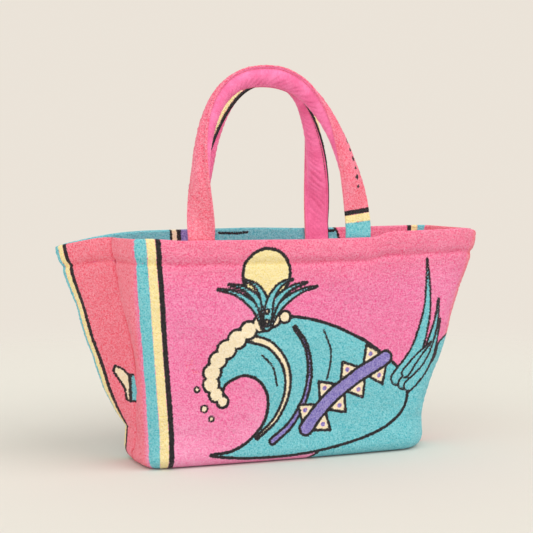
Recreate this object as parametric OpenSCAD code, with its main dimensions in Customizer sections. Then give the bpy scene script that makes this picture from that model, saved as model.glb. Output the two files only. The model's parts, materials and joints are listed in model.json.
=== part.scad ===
// Terry towelling tote: a soft open bag with a boxed base, a turned hem round
// the mouth, a smooth lining and two padded carrying handles.
// Origin: centre of the base on the floor. +X to the right of the front face,
// the front face looks to -Y, +Z up. Millimetres.

/* [Body] */
// Height of the body, floor to rim
body_h = 300; // [250:5:360]
// Length of the mouth, end to end
mouth_len = 582; // [485:1:700]
// Depth of the mouth, front to back
mouth_depth = 176; // [146:1:212]
// Length of the base, end to end
base_len = 432; // [360:1:518]
// Depth of the base, front to back
base_depth = 116; // [96:1:140]
// Height of the upright boxed foot of the walls
boxed_h = 46; // [30:1:70]
// Radius of the bottom edge
bottom_r = 18; // [12:1:24]

/* [Mouth shape] */
// How far the front left corner sits in from the mouth's left end
front_left_in = 60; // [0:1:90]
// How far the front right corner sits in from the mouth's right end
front_right_in = 24; // [10:1:60]
// How far the right end is nipped together at the front
right_nip = 26; // [0:1:45]
// Where the front edge begins to turn in towards the nipped end
nip_from_x = 150; // [130:1:180]
// How far the back right corner sits in from the mouth's right end
back_right_in = 36; // [10:1:60]
// How far the left side seam is drawn in from the mouth's left end
left_seam_in = 52; // [20:1:80]
// Outward belly of the front and back at the base
base_belly = 7; // [0:1:15]
// Droop of the rim at the back left corner
rim_droop = 16; // [0:1:25]
// How far the droop reaches along the rim
droop_reach = 110; // [60:5:160]
// How far the back left corner stands out past the mouth's left end
left_splay = 16; // [0:1:24]

/* [Cloth] */
// Thickness of the terry
terry_t = 3.2; // [2:0.1:4.5]
// Thickness of the smooth lining
lining_t = 0.8; // [0.5:0.1:1.5]
// Depth of the turned hem round the mouth
hem_h = 30; // [20:1:40]
// Thickness of the sewing thread
thread_t = 0.8; // [0.5:0.1:1.2]
// Clearance between layers that are only laid together
layer_gap = 0.2; // [0.1:0.05:0.5]

/* [Handles] */
// Width of the handle straps
strap_w = 36; // [26:1:44]
// Thickness of the terry on the handles
strap_terry_t = 2.4; // [1.5:0.1:3.5]
// Half the thickness of the stuffing at the grip
stuffing_r = 8; // [4:0.5:10]
// Half the stuffing's width, as a share of half the strap
stuffing_share = 0.78; // [0.6:0.01:0.85]
// Rise of the handles above the rim, to the middle of the grip
handle_rise = 205; // [170:1:255]
// Squareness of the handles' left shoulders, where 2 is an ellipse
left_power = 2.45; // [2:0.05:3.2]
// Squareness of the front handle's right shoulder
front_right_power = 2.15; // [2:0.05:3.2]
// Squareness of the back handle's right shoulder
back_right_power = 2.6; // [2:0.05:3.2]
// Distance between the feet of the front handle
front_span = 219; // [180:1:265]
// Middle of the front handle, from the middle of the base
front_x = -28; // [-50:1:50]
// Sideways lean of the front handle's top
front_sway = -17; // [-25:1:25]
// Distance between the feet of the back handle
back_span = 171; // [140:1:210]
// Middle of the back handle, from the middle of the base
back_x = -2; // [-50:1:50]
// Sideways lean of the back handle's top
back_sway = 5; // [-25:1:25]
// Lean of both handles' tops over the mouth
handle_lean = 12; // [0:1:25]
// Height of the handles' fold line above the rim
fold_h = 10; // [5:0.5:12]

/* [Hidden] */

FRONT = -1;
BACK = 1;
hem_t = 2 * terry_t;
corner_steps = 5;
wall_rows = 6;
// Height of the bevel under the hem's raw edge
hem_step = 2;
arch_rings = 40;
// How far the corners sit in from the ends of the base
base_front_left_in = 8;
base_front_right_in = 28;
base_back_left_in = 8;
base_back_right_in = 14;
// Radii of the upright folds: at the base, and at the mouth where the corner is
// square, where it is splayed to a sharp angle, and where it is nipped flat
fold_r_base = 30;
fold_r_mouth = 16;
splay_r_mouth = 32;
nip_r_mouth = 36;
// Radii of the gentle turn in the middle of each side, at the base and at the mouth
belly_r_base = 110;
belly_r_mouth = 40;
// Share of the base length that the floor's centre seam keeps
floor_seam_share = 0.8;

// ---- the body's walls --------------------------------------------------

function mix(a, b, t) = a * (1 - t) + b * t;
function bend(a, v, b) =
    [for (i = [0:corner_steps]) let (t = i / corner_steps)
        (1 - t) * (1 - t) * a + 2 * t * (1 - t) * v + t * t * b];
function rounded(before, v, after, r) =
    bend(v + (before - v) * r / norm(before - v), v, v + (after - v) * r / norm(after - v));

// Corners of one half of the outline, left seam to right seam, at the base and the mouth
function base_corners(side) = side == FRONT
    ? [[-base_len / 2, 0], [-base_len / 2 + base_front_left_in, -base_depth / 2],
       [0, -base_depth / 2 - base_belly],
       [base_len / 2 - base_front_right_in, -base_depth / 2], [base_len / 2, 0]]
    : [[-base_len / 2, 0], [-base_len / 2 + base_back_left_in, base_depth / 2],
       [0, base_depth / 2 + base_belly],
       [base_len / 2 - base_back_right_in, base_depth / 2], [base_len / 2, 0]];
function mouth_corners(side) = side == FRONT
    ? [[-mouth_len / 2 + left_seam_in, 0], [-mouth_len / 2 + front_left_in, -mouth_depth / 2],
       [nip_from_x, -mouth_depth / 2],
       [mouth_len / 2 - front_right_in, -mouth_depth / 2 + right_nip], [mouth_len / 2, 0]]
    : [[-mouth_len / 2 + left_seam_in, 0], [-mouth_len / 2 - left_splay, mouth_depth / 2],
       [back_x, mouth_depth / 2],
       [mouth_len / 2 - back_right_in, mouth_depth / 2], [mouth_len / 2, 0]];

// 0 at the top of the boxed foot, 1 at the rim
function flare(z) = max(0, (z - boxed_h) / (body_h - boxed_h));
function outline(side, z) =
    let (t = flare(z), b = base_corners(side), m = mouth_corners(side),
         c = [for (i = [0:4]) mix(b[i], m[i], t)],
         left_r = mix(fold_r_base, side == FRONT ? fold_r_mouth : splay_r_mouth, t),
         right_r = mix(fold_r_base, side == FRONT ? nip_r_mouth : fold_r_mouth, t))
    concat([c[0]], rounded(c[0], c[1], c[2], left_r),
        rounded(c[1], c[2], c[3], mix(belly_r_base, belly_r_mouth, t)),
        rounded(c[2], c[3], c[4], right_r), [c[4]]);
last_i = 3 * (corner_steps + 1) + 1;

// Outward direction of the outline at point i; at the seams it is along X
function outward(side, line, i) =
    i == 0 ? [-1, 0] : i == last_i ? [1, 0]
    : let (d = line[i + 1] - line[i - 1]) side * [-d[1], d[0]] / norm(d);

// The rim hangs lower near the back left corner
function droop(side, z, i) =
    let (p = outline(side, body_h)[i], far = norm(p - mouth_corners(BACK)[1]) / droop_reach)
    rim_droop * pow(max(0, 1 - far), 2) * pow(z / body_h, 2);

// A place on a wall, inset from its outer face, or on the floor part way to the centre seam
function place(side, i, inset, z, inward) =
    let (line = outline(side, z), p = line[i] - inset * outward(side, line, i))
    [mix(p[0], floor_seam_share * line[i][0], inward), mix(p[1], 0, inward),
     z - droop(side, z, i)];

// Stations [inset, z, share of the way to the centre seam] of a face at depth w in the wall
hem_z = body_h - hem_h;
function face(w) = concat(
    [[bottom_r, w, 1], [bottom_r, w, 0.5]],
    [for (q = [90:-30:0]) [w + (bottom_r - w) * (1 - cos(q)), w + (bottom_r - w) * (1 - sin(q)), 0]],
    [for (k = [0:wall_rows]) [w, mix(boxed_h, hem_z, k / wall_rows), 0]]);
// One side of the hem's fold, at depth w, from low to near the top
function hem_face(w, low) = let (lean = w == 0 ? 45 : 135, r = hem_t / 2) [
    [w, low, 0], [w, body_h - hem_h / 2, 0], [w, body_h - r, 0],
    [r * (1 - cos(lean)), body_h - r * (1 - sin(lean)), 0]];
function reversed(list) = [for (i = [len(list) - 1:-1:0]) list[i]];

// A solid swept through rings of equal point counts and closed at both ends, where
// point k of a ring faces point n - 1 - k across the section. Both faces of the cloth
// are split along the same diagonals, so layers that share a surface share its facets,
// and the diagonals turn over half way, so that none lies along an end's own plane.
module swept(rings) {
    n = len(rings[0]);
    m = len(rings);
    half = ceil(n / 2) - 2;
    sides = [for (j = [0:m - 2], k = [0:n - 1]) let (k2 = (k + 1) % n, a = j * n, b = a + n)
        each (k < n / 2) == (j < (m - 1) / 2) ? [[a + k, b + k2, b + k], [a + k, a + k2, b + k2]]
                                              : [[a + k, a + k2, b + k], [a + k2, b + k2, b + k]]];
    end = [for (k = [0:half]) let (c = n - 2 - k)
        each k + 1 == c ? [[k, c, n - 1 - k]] : [[k, k + 1, n - 1 - k], [k + 1, c, n - 1 - k]]];
    far_end = [for (t = end) [for (p = reversed(t)) p + (m - 1) * n]];
    polyhedron([for (r = rings) each r], concat(sides, [for (t = end) reversed(t)],
        [for (t = far_end) reversed(t)]), convexity = 8);
}

// A panel or lining: its section, swept along one half of the outline
module half_shell(side, section) {
    stations = side == FRONT ? section : reversed(section);
    swept([for (i = [0:last_i]) [for (s = stations) place(side, i, s[0], s[1], s[2])]]);
}

panel_section = concat(face(0), hem_face(0, hem_z + hem_step), [[hem_t / 2, body_h, 0]],
    reversed(concat(face(terry_t), hem_face(hem_t, hem_z + hem_step))));
lining_section = concat(face(terry_t), reversed(face(terry_t + lining_t)));

module front_panel() { color([0.94, 0.42, 0.65]) half_shell(FRONT, panel_section); }
module back_panel() { color([0.90, 0.38, 0.60]) half_shell(BACK, panel_section); }
module front_lining() { color([0.93, 0.45, 0.70]) half_shell(FRONT, lining_section); }
module back_lining() { color([0.88, 0.40, 0.66]) half_shell(BACK, lining_section); }

// Stitching that holds the turned hem, a thin cord laid round the outside
module hem_thread() {
    low = body_h - hem_h;
    color([0.80, 0.25, 0.50]) for (side = [FRONT, BACK])
        swept([for (i = [1:last_i - 1]) let (w = -layer_gap)
            [for (s = [[w, low], [w - thread_t, low],
                       [w - thread_t, low + thread_t], [w, low + thread_t]])
                place(side, side == FRONT ? i : last_i - i, s[0], s[1], 0)]]);
}

// ---- the handles -------------------------------------------------------

strap_foot_t = strap_terry_t + lining_t;
fold_z = body_h + fold_h;
function foot_x(side, end) = (side == FRONT ? front_x : back_x)
    + end * (side == FRONT ? front_span : back_span) / 2;
// Distance of a wall's outer face from the middle plane
function wall_y(side, x, z) =
    let (line = outline(side, z),
         k = [for (i = [0:last_i - 1]) if (line[i][0] <= x && line[i + 1][0] > x) i][0],
         t = (x - line[k][0]) / (line[k + 1][0] - line[k][0]))
    side * mix(line[k][1], line[k + 1][1], t);
// Outer face of the strap ends, clear of the hem over the width of both feet
function foot_y(side, z) =
    min([for (end = [-1, 1], edge = [-1, 1]) wall_y(side, foot_x(side, end) + edge * strap_w / 2, z)])
    - hem_t - layer_gap;
function fold_y(side) = side * (foot_y(side, body_h) - strap_foot_t / 2);

function soft_power(v, power) = sign(v) * pow(abs(v), 2 / power);
function arch(side, a) =
    let (power = a < 90 ? left_power : side == FRONT ? front_right_power : back_right_power)
    [(side == FRONT ? front_x : back_x)
        - (side == FRONT ? front_span : back_span) / 2 * soft_power(cos(a), power)
        + (side == FRONT ? front_sway : back_sway) * sin(a),
     fold_y(side) - side * handle_lean * pow(sin(a), 2),
     fold_z + handle_rise * soft_power(sin(a), power)];
// Rings are closer together near the feet
function ring_angle(i) = 180 * i / arch_rings - 14 * sin(360 * i / arch_rings);

// Turn of the strap about its own line: flat to the panel at the feet, rolled over at the grip
top_roll = [-50, -35];
// How soon the strap turns on its way up, left and right leg: the lower, the nearer to the foot
front_roll_power = [0.6, 1.6];
back_roll_power = [0.5, 0.8];
function roll(side, a) =
    let (top = side == FRONT ? top_roll[0] : top_roll[1],
         power = (side == FRONT ? front_roll_power : back_roll_power)[a < 90 ? 0 : 1])
    90 - (90 - top) * pow(max(0, sin(a)), power);
function unit(v) = v / norm(v);
// Directions across the strap and out of its terry face
function strap_frame(side, a) =
    let (step = 1, along = unit(arch(side, min(180, a + step)) - arch(side, max(0, a - step))),
         radial = unit(cross(along, [0, 1, 0])), out = -side * cross(along, radial),
         face = radial * cos(roll(side, a)) + out * sin(roll(side, a)))
    [cross(face, along), face];
function strap_point(side, a, u, v) =
    let (f = strap_frame(side, a)) arch(side, a) + u * f[0] + v * f[1];

// Half height of the stuffing, which swells over a few rings from each foot
stuffing_starts = 2;
stuffing_swell = 8;
function stuffing(i) =
    let (k = min(i, arch_rings - i) - stuffing_starts + 1)
    stuffing_r * (1 - cos(180 * min(1, max(0, k / stuffing_swell)))) / 2;
stations_u = [-1, -stuffing_share, -0.4, 0, 0.4, stuffing_share, 1];
function hollow_v(i, u) = stuffing(i) * sqrt(max(0, 1 - pow(u / stuffing_share, 2)));

function cloth_ring(side, i, t, up) =
    concat([for (u = stations_u)
                strap_point(side, ring_angle(i), u * strap_w / 2, up * (hollow_v(i, u) + t))],
           [for (u = reversed(stations_u))
                strap_point(side, ring_angle(i), u * strap_w / 2, up * hollow_v(i, u))]);
function turned(ring, flip) = flip ? reversed(ring) : ring;

module strap_cloth(side, t, up)
    swept([for (i = [0:arch_rings]) turned(cloth_ring(side, i, t, up), up < 0)]);
module strap_core(side) {
    inner = [for (k = [1:len(stations_u) - 2]) stations_u[k]];
    swept([for (i = [stuffing_starts:arch_rings - stuffing_starts])
        concat([for (u = inner) strap_point(side, ring_angle(i), u * strap_w / 2, hollow_v(i, u))],
               [for (k = [len(inner) - 2:-1:1])
                    strap_point(side, ring_angle(i), inner[k] * strap_w / 2, -hollow_v(i, inner[k]))])]);
}
// Two rows of stitching on the backing, just outside the stuffing
module strap_thread(side) {
    line_u = (1 + stuffing_share) / 2 * strap_w / 2;
    v = -lining_t - 2 * layer_gap;
    h = thread_t / 2;
    for (row = [-1, 1])
        swept([for (i = [0:arch_rings]) let (a = ring_angle(i), u = row * line_u)
            [strap_point(side, a, u - h, v), strap_point(side, a, u + h, v),
             strap_point(side, a, u + h, v - thread_t), strap_point(side, a, u - h, v - thread_t)]]);
}

// Flat ends of a strap, sewn to the inside of the hem
ends_low = hem_z + 2;
// Room under the fold line, so that the folded handle clears the ends
fold_room = 2.4;
ends_top = fold_z - strap_foot_t - fold_room;
module handle_ends(side) {
    low_y = foot_y(side, ends_low);
    rim_y = foot_y(side, body_h);
    section = [[low_y, ends_low], [rim_y, body_h], [rim_y, ends_top], [rim_y - strap_foot_t, ends_top],
               [rim_y - strap_foot_t, body_h], [low_y - strap_foot_t, ends_low]];
    for (end = [-1, 1])
        translate([foot_x(side, end), 0, 0])
            rotate([90, 0, 90])
                linear_extrude(strap_w, center = true)
                    polygon([for (p = section) [side * p[0], p[1]]]);
}
// A box of stitching on each strap end
tack_margin = 5;
module handle_tacks(side) {
    low_y = foot_y(side, ends_low);
    rise = body_h - ends_low;
    slope = atan2(foot_y(side, body_h) - low_y, rise);
    size = [strap_w - 2 * tack_margin, rise - 2 * tack_margin];
    for (end = [-1, 1])
        translate([foot_x(side, end), side * (low_y - strap_foot_t), ends_low])
            rotate([-side * slope, 0, 0])
                translate([0, -side * (layer_gap + thread_t / 2), rise / 2])
                    rotate([90, 0, 0])
                        linear_extrude(thread_t, center = true)
                            difference() {
                                square(size, center = true);
                                square([size[0] - 2 * thread_t, size[1] - 2 * thread_t], center = true);
                            }
}

module front_handle_ends() { color([0.95, 0.40, 0.58]) handle_ends(FRONT); }
module back_handle_ends() { color([0.90, 0.36, 0.55]) handle_ends(BACK); }
module front_handle_tacks() { color([0.80, 0.25, 0.50]) handle_tacks(FRONT); }
module back_handle_tacks() { color([0.80, 0.25, 0.50]) handle_tacks(BACK); }
module front_handle_terry() { color([0.97, 0.42, 0.56]) strap_cloth(FRONT, strap_terry_t, 1); }
module back_handle_terry() { color([0.97, 0.42, 0.56]) strap_cloth(BACK, strap_terry_t, 1); }
module front_handle_backing() { color([0.90, 0.36, 0.62]) strap_cloth(FRONT, lining_t, -1); }
module back_handle_backing() { color([0.90, 0.36, 0.62]) strap_cloth(BACK, lining_t, -1); }
module front_handle_core() { color([0.95, 0.93, 0.88]) strap_core(FRONT); }
module back_handle_core() { color([0.95, 0.93, 0.88]) strap_core(BACK); }
module front_handle_thread() { color([0.80, 0.25, 0.50]) strap_thread(FRONT); }
module back_handle_thread() { color([0.80, 0.25, 0.50]) strap_thread(BACK); }

front_panel();
back_panel();
front_lining();
back_lining();
hem_thread();
front_handle_ends();
back_handle_ends();
front_handle_tacks();
back_handle_tacks();
front_handle_terry();
front_handle_backing();
front_handle_core();
front_handle_thread();
back_handle_terry();
back_handle_backing();
back_handle_core();
back_handle_thread();
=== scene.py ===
"""Terry towelling beach tote: cloth panels, lining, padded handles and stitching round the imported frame."""

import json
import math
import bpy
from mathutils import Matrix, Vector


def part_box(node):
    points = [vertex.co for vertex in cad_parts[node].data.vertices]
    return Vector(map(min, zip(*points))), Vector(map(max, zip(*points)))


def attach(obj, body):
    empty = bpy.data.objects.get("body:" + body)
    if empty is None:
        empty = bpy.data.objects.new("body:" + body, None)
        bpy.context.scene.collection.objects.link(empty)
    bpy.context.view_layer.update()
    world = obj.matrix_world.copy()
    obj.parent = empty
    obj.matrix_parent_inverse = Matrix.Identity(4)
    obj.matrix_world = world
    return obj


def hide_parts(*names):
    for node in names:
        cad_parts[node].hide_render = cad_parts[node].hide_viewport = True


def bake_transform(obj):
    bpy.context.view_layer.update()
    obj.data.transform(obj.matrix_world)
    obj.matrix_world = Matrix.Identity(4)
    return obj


bl_info = {
    "name": "Terry Beach Tote",
    "version": (1, 0, 0),
    "blender": (4, 5, 0),
    "location": "3D View > Sidebar > Beach Tote",
    "description": "Builds a towelling tote with a printed body and padded handles round its packed frame",
    "category": "Object",
}

from types import SimpleNamespace

import bpy
import numpy as np
from mathutils import Vector

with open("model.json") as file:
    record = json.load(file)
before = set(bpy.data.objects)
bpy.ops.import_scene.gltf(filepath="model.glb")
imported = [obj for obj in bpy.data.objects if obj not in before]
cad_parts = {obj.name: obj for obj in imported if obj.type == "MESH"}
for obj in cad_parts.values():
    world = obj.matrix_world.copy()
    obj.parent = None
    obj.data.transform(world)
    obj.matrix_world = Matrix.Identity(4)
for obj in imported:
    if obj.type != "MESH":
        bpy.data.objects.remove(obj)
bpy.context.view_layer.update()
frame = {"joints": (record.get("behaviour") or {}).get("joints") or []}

MM = 0.001
FRONT, BACK = -1, 1
SIDES = {"front": FRONT, "back": BACK}


def joint_place(name):
    """Where a joint's axis passes, in metres."""
    return next(j for j in frame["joints"] if j["name"] == name)["pos_m"]


# ---------------------------------------------------------------- settings


def length_setting(label, text, default):
    return bpy.props.FloatProperty(name=label, description=text, unit="LENGTH", default=default)


def colour_setting(label, default):
    return bpy.props.FloatVectorProperty(
        name=label, description=f"Colour of the {label.lower()}", subtype="COLOR", size=3, min=0, max=1,
        default=default)


class BodySettings(bpy.types.PropertyGroup):
    """Sizes of the bag's body."""

    rim_z: length_setting("Rim height", "Height of the mouth's rim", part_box("front_panel")[1].z)
    foot_h: length_setting("Boxed foot", "Height of the upright foot of the walls", 0.046)
    bottom_r: length_setting("Bottom edge", "Radius of the edge round the floor", 0.018)
    hem_h: length_setting("Hem depth", "Depth of the turned hem", 0.030)
    rim_droop: length_setting("Rim droop", "How far the rim hangs at the back left corner", 0.016)
    rim_lift: length_setting("Rim lift", "How far the front rim stands up beyond the right strap", 0.007)
    corner_lift: length_setting("Corner lift", "How far the rim stands up at the front left corner", 0.009)
    left_fold: length_setting("Left side fold", "How far the left side seam is drawn in", 0.015)
    right_fold: length_setting("Right side fold", "How far the right side seam is drawn in low down", 0.006)
    right_bulge: length_setting("Right side bulge", "How far the right side swells under the rim", 0.007)
    undulation: length_setting("Undulation", "Height of the soft waves in the panels", 0.0019)


class ClothSettings(bpy.types.PropertyGroup):
    """Thicknesses of the cloths and the thread."""

    terry_t: length_setting("Terry", "Thickness of the body's terry", 0.0032)
    strap_terry_t: length_setting("Strap terry", "Thickness of the terry on the handles", 0.0024)
    lining_t: length_setting("Lining", "Thickness of the smooth cloth", 0.0008)
    pile_rough: length_setting("Pile", "Unevenness of the terry's pile", 0.00035)
    stitch_len: length_setting("Stitch", "Distance from one stitch to the next", 0.0034)
    thread_r: length_setting("Thread", "Half the thickness of the sewing thread", 0.0004)


class HandleSettings(bpy.types.PropertyGroup):
    """Sizes of the two carrying handles."""

    strap_w: length_setting("Strap width", "Width of the handle straps", 0.036)
    rise: length_setting("Rise", "Rise of the handles above their fold line", 0.205)
    lean: length_setting("Lean", "Lean of the handles' tops over the mouth", 0.012)
    stuffing_r: length_setting("Stuffing", "Half the thickness of the stuffing at the grip", 0.008)
    pucker: length_setting("Pucker", "Depth of the slanting folds in the backing", 0.0010)


class ColourSettings(bpy.types.PropertyGroup):
    """Dyes of the cloths and the floor."""

    pink: colour_setting("Pink ground", (0.86, 0.182, 0.45))
    hot_pink: colour_setting("Hot pink at the rim", (0.86, 0.105, 0.27))
    salmon: colour_setting("Salmon ends and straps", (0.88, 0.175, 0.280))
    teal: colour_setting("Teal print", (0.105, 0.60, 0.68))
    yellow: colour_setting("Yellow print", (0.90, 0.80, 0.42))
    cream: colour_setting("Cream print", (0.90, 0.81, 0.60))
    purple: colour_setting("Purple print", (0.24, 0.20, 0.60))
    black: colour_setting("Black print", (0.012, 0.011, 0.016))
    lining: colour_setting("Smooth lining", (0.88, 0.18, 0.41))
    thread: colour_setting("Thread", (0.62, 0.07, 0.22))
    floor: colour_setting("Floor", (0.655, 0.664, 0.635))
    backdrop: colour_setting("Backdrop", (0.83, 0.77, 0.69))


def bag(group):
    """The tote's settings of one group."""
    return getattr(bpy.context.scene, "beach_tote_" + group)


# ---------------------------------------------------------------- mesh helpers


def mix(a, b, t):
    """Between a, where t is 0, and b, where it is 1."""
    return a * (1 - t) + b * t


def smooth(t):
    """Eases from 0 to 1 as t does."""
    t = np.clip(t, 0, 1)
    return t * t * (3 - 2 * t)


def hump(distance, reach):
    """A soft bump of 1 that dies away within about twice its reach."""
    return np.exp(-(distance / reach) ** 2)


def unit(v):
    """Each direction at length 1."""
    return v / np.maximum(np.linalg.norm(v, axis=-1, keepdims=True), 1e-12)


def soft_wave(x, y, seed):
    """A gentle field of about -1 to 1 made of a few slanting waves, repeating about every unit."""
    draw = np.random.RandomState(seed)
    total = np.zeros(np.broadcast(x, y).shape)
    for _ in range(7):
        turn, rate, start = draw.uniform(0, math.tau), draw.uniform(0.6, 1.7), draw.uniform(0, math.tau)
        total = total + np.sin(math.tau * rate * (x * math.cos(turn) + y * math.sin(turn)) + start)
    return total / 3.5


def run_along(points):
    """Distance travelled at each point of a line."""
    steps = np.linalg.norm(np.diff(points, axis=0), axis=1)
    return np.concatenate([[0], np.cumsum(steps)])


def add_piece(name, points, faces, material, values=None, grain=None):
    """A smooth shaded mesh with point values and a cloth grain map, both by point."""
    mesh = bpy.data.meshes.new(name)
    mesh.from_pydata([tuple(p) for p in points], [], faces)
    mesh.shade_smooth()
    mesh.materials.append(material)
    for label, value in (values or {}).items():
        layer = mesh.attributes.new(label, "FLOAT", "POINT")
        layer.data.foreach_set("value", np.ascontiguousarray(value, dtype=np.float32))
    if grain is not None:
        corner = np.empty(len(mesh.loops), dtype=np.int32)
        mesh.loops.foreach_get("vertex_index", corner)
        layer = mesh.uv_layers.new(name="Grain")
        layer.data.foreach_set("uv", np.asarray(grain, dtype=np.float32)[corner].ravel())
    piece = bpy.data.objects.new(name, mesh)
    bpy.context.scene.collection.objects.link(piece)
    return piece


def tube_faces(rows, ring, closed_ends=True):
    """Quads of a grid of rows by ring points, closed round the ring, with flat strips over its ends."""
    faces = []
    for j in range(rows - 1):
        for k in range(ring):
            k2 = (k + 1) % ring
            faces.append((j * ring + k, j * ring + k2, (j + 1) * ring + k2, (j + 1) * ring + k))
    if closed_ends:
        last = (rows - 1) * ring
        for k in range(ring // 2 - 1):
            corners = [ring - 1 - k, ring - 2 - k, k + 1, k]
            if corners[1] <= corners[2]:
                del corners[1]
            faces.append(tuple(corners))
            faces.append(tuple(last + c for c in reversed(corners)))
    return faces


STITCH_SIDES = 6


def stitches(name, places, alongs, length):
    """A row of short plump stitches, one at each place."""
    radius = bag("cloth").thread_r
    turns = np.linspace(0, math.tau, STITCH_SIDES, endpoint=False)
    across = unit(np.cross(alongs, np.array([0.31, 0.87, 0.38])))
    up = np.cross(alongs, across)
    stations = [(-0.5, 0.35), (-0.3, 1.0), (0.3, 1.0), (0.5, 0.35)]
    last = (len(stations) - 1) * STITCH_SIDES
    points, faces = [], []
    for place, along, a, b in zip(places, alongs, across, up):
        base = len(points)
        for at, swell in stations:
            points.extend(place + along * (at * length)
                          + radius * swell * (math.cos(t) * a + math.sin(t) * b) for t in turns)
        for low in range(base, base + last, STITCH_SIDES):
            for k in range(STITCH_SIDES):
                k2 = (k + 1) % STITCH_SIDES
                faces.append((low + k, low + k2, low + STITCH_SIDES + k2, low + STITCH_SIDES + k))
        faces.append(tuple(base + k for k in reversed(range(STITCH_SIDES))))
        faces.append(tuple(base + last + k for k in range(STITCH_SIDES)))
    return add_piece(name, points, faces, thread_material(name + "_thread"))


# ---------------------------------------------------------------- the body's outline

# Corners of each half of the outline, left seam to right seam, in millimetres
BASE = {
    FRONT: [(-216, 0), (-208, -58), (0, -65), (188, -58), (216, 0)],
    BACK: [(-216, 0), (-213, 58), (0, 65), (202, 58), (216, 0)],
}
MOUTH = {
    FRONT: [(-239, 0), (-231, -88), (150, -88), (267, -62), (291, 0)],
    BACK: [(-239, 0), (-307, 88), (-2, 88), (255, 88), (291, 0)],
}
# Radii of the left, middle and right turns, in millimetres
BASE_R = (30, 110, 30)
MOUTH_R = {FRONT: (16, 40, 36), BACK: (32, 40, 16)}
FLOOR_SEAM_SHARE = 0.8
# Below 1, the splayed back left corner stands out early on its way up
SPLAY_BELLY = 0.72
# The side seams turn the cloth's outward direction square to them within this reach
SEAM_TURN = 0.008
DROOP_REACH = 0.110
# Where along the front rim the lift beyond the right strap begins and is full, and where it ends
LIFT_FROM_X, LIFT_TO_X, LIFT_END_X = 0.098, 0.130, 0.291
# Where the rim starts to rise to the front left corner, and where it stands highest
CORNER_FROM_X, CORNER_TO_X = -0.158, -0.215
# Shares of the corner lift on the front rim: at its middle, gained by the left strap, gained at the corner
FRONT_RISE = (0.22, 0.33, 0.45)
# On the back rim: past the droop, and on the left side's half
BACK_RISE, SIDE_RISE = 0.6, 0.5
# How far from a side seam its fold or swelling reaches, and at what share of the height the right
# side is pinched and swells, with the share that each of these spreads over
LEFT_FOLD_REACH, RIGHT_FOLD_REACH, BULGE_REACH = 0.034, 0.045, 0.060
PINCH_AT, PINCH_SPREAD = 0.22, 0.12
BULGE_AT, BULGE_SPREAD = 0.86, 0.11


def rounded(before, corner, after, r, steps=12):
    """Points of a soft turn at a corner."""
    a = corner + (before - corner) * r / np.linalg.norm(before - corner)
    b = corner + (after - corner) * r / np.linalg.norm(after - corner)
    t = np.linspace(0, 1, steps + 1)[:, None]
    return (1 - t) ** 2 * a + 2 * t * (1 - t) * corner + t * t * b


def outline(side, z, spots):
    """Points, outward directions and run of a half outline at height z. Spots 0 and 3 are the
    seams, 1 and 2 the upright folds at the left and the right."""
    body = bag("body")
    t = max(0.0, (z - body.foot_h) / (body.rim_z - body.foot_h))
    shares = np.full((5, 1), t)
    if side == BACK:
        shares[1] = t ** SPLAY_BELLY
    corners = mix(np.array(BASE[side], float), np.array(MOUTH[side], float), shares) * MM
    radii = mix(np.array(BASE_R, float), np.array(MOUTH_R[side], float), t) * MM
    turns = [rounded(corners[k - 1], corners[k], corners[k + 1], radii[k - 1]) for k in (1, 2, 3)]
    path = np.vstack([corners[:1], *turns, corners[-1:]])
    run = run_along(path)
    middle = len(turns[0]) // 2
    stops = [0, run[1 + middle], run[1 + 2 * len(turns[0]) + middle], run[-1]]
    at = np.interp(spots, [0, 1, 2, 3], stops)
    xy = np.stack([np.interp(at, run, path[:, 0]), np.interp(at, run, path[:, 1])], axis=1)
    d = unit(np.gradient(xy, at, axis=0))
    out = side * np.stack([-d[:, 1], d[:, 0]], axis=1)
    near_left = hump(at, SEAM_TURN)[:, None]
    near_right = hump(stops[3] - at, SEAM_TURN)[:, None]
    out = unit(out * (1 - near_left) * (1 - near_right) + near_left * [-1, 0] + near_right * [1, 0])
    return xy, out, at, stops


def rim_change(side, spots, z):
    """How the soft rim rises or hangs, fading towards the floor."""
    body = bag("body")
    rim = outline(side, body.rim_z, spots)[0]
    x, y = rim[:, 0], rim[:, 1]
    far = np.linalg.norm(rim - np.array(MOUTH[BACK][1], float) * MM, axis=1) / DROOP_REACH
    change = -body.rim_droop * np.clip(1 - far, 0, None) ** 2
    if side == FRONT:
        begins = smooth((x - LIFT_FROM_X) / (LIFT_TO_X - LIFT_FROM_X))
        change = change + body.rim_lift * begins * smooth((LIFT_END_X - x) / 0.045)
        middle, strap, corner = FRONT_RISE
        rise = middle + strap * np.clip(-x / 0.15, 0, 1)
        rise = rise + corner * smooth((x - CORNER_FROM_X) / (CORNER_TO_X - CORNER_FROM_X))
        rise = rise * (1 - 0.5 * np.clip(1 + y / 0.088, 0, 1))
    else:
        rise = BACK_RISE * smooth((x + 0.27) / 0.11) * (1 - 0.6 * smooth((x + 0.03) / 0.12))
        rise = np.maximum(rise, SIDE_RISE * (1 - smooth(y / 0.055)) * (x < 0))
    return (change + body.corner_lift * rise) * (z / body.rim_z) ** 2


def seam_draw(at, stops, z):
    """How far the cloth is drawn in or swells near the side seams, all layers alike."""
    body = bag("body")
    share = min(1.0, max(0.0, z / body.rim_z))
    to_end = stops[3] - at
    left = body.left_fold * hump(at, LEFT_FOLD_REACH) * math.sin(math.pi * share ** 0.72) ** 1.3
    right = body.right_fold * hump(share - PINCH_AT, PINCH_SPREAD) * hump(to_end, RIGHT_FOLD_REACH)
    bulge = body.right_bulge * hump(share - BULGE_AT, BULGE_SPREAD) * hump(to_end, BULGE_REACH)
    return bulge - left - right


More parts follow.
